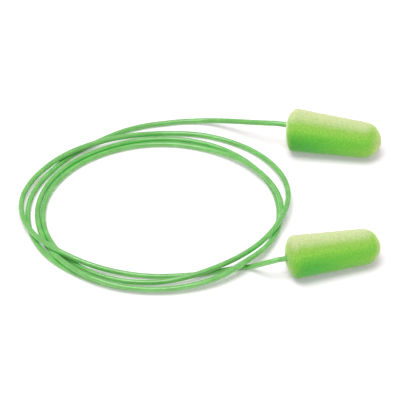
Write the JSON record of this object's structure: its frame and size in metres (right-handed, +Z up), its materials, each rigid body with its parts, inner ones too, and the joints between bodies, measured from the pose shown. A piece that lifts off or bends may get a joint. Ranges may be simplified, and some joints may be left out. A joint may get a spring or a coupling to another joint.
{
  "type": "foam ear plugs",
  "caption": "Pair of tapered round-tipped foam ear plugs glued to the two ends of one thin vinyl cord, which lies on the table in a loose round coil.",
  "frame": {"origin": "on the table, midway between the two foam plugs", "axes": "+Z up from the table; +Y from the front plug towards the rear plug; +X from the coil of cord towards the plugs' tips"},
  "size_m": [0.102, 0.0767, 0.0124],
  "materials": {
    "foam": "matte",
    "vinyl_cord": "gloss",
    "glue": "satin"
  },
  "bodies": {
    "cord": {"cord_coil": "vinyl_cord", "rear_cord_tail": "vinyl_cord", "front_cord_tail": "vinyl_cord"},
    "rear_plug": {"rear_foam_plug": "foam", "rear_glue_bead": "glue", "rear_cord_end": "vinyl_cord"},
    "front_plug": {"front_foam_plug": "foam", "front_glue_bead": "glue", "front_cord_end": "vinyl_cord"}
  },
  "joints": [
    {"name": "rear_plug_swing", "type": "hinge", "parent": "cord", "child": "rear_plug", "pos_m": [-0.01537, 0.02902, 0.00748], "axis": [0, 0, 1], "range_deg": [-30, 30], "stiffness_Nm_per_rad": 0.0003},
    {"name": "front_plug_swing", "type": "hinge", "parent": "cord", "child": "front_plug", "pos_m": [-0.01565, -0.02918, 0.00643], "axis": [0, 0, 1], "range_deg": [-30, 25], "stiffness_Nm_per_rad": 0.0003}
  ]
}
